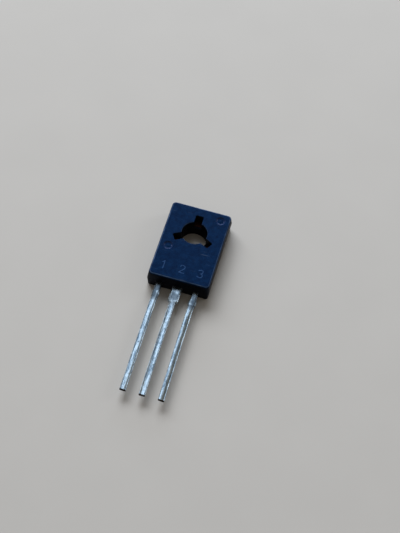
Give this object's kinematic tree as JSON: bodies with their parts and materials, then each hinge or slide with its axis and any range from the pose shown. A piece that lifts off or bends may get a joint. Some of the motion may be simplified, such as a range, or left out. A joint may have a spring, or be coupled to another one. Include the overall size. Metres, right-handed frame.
{
  "type": "thyristor",
  "caption": "Low-power thyristor in a flat moulded package with a screw hole, clamp slots, straight tinned leads and an exposed heat-sink pad.",
  "frame": {"origin": "on the screw hole's axis, in the plane of the heat-sink face", "axes": "+Z along the screw hole, out of the marked face; -Y along the leads, from the body to their tips; +X to the right with the marked face up and the leads down, from the cathode lead to the gate lead"},
  "size_m": [0.0078, 0.0264, 0.0026],
  "materials": {
    "moulding_compound": "blue-black epoxy moulding compound, fine satin mould texture",
    "tinned_copper": "bright tin plate over stamped copper, mottled and lightly scuffed",
    "silicon": "polished silicon",
    "solder": "dull die-attach solder",
    "aluminium_wire": "drawn aluminium bond wire"
  },
  "bodies": {
    "root": {"moulded_body": "moulding_compound", "anode_frame": "tinned_copper", "cathode_lead": "tinned_copper", "gate_lead": "tinned_copper", "silicon_chip": "silicon", "chip_solder": "solder", "cathode_wire": "aluminium_wire", "gate_wire": "aluminium_wire"}
  },
  "joints": []
}
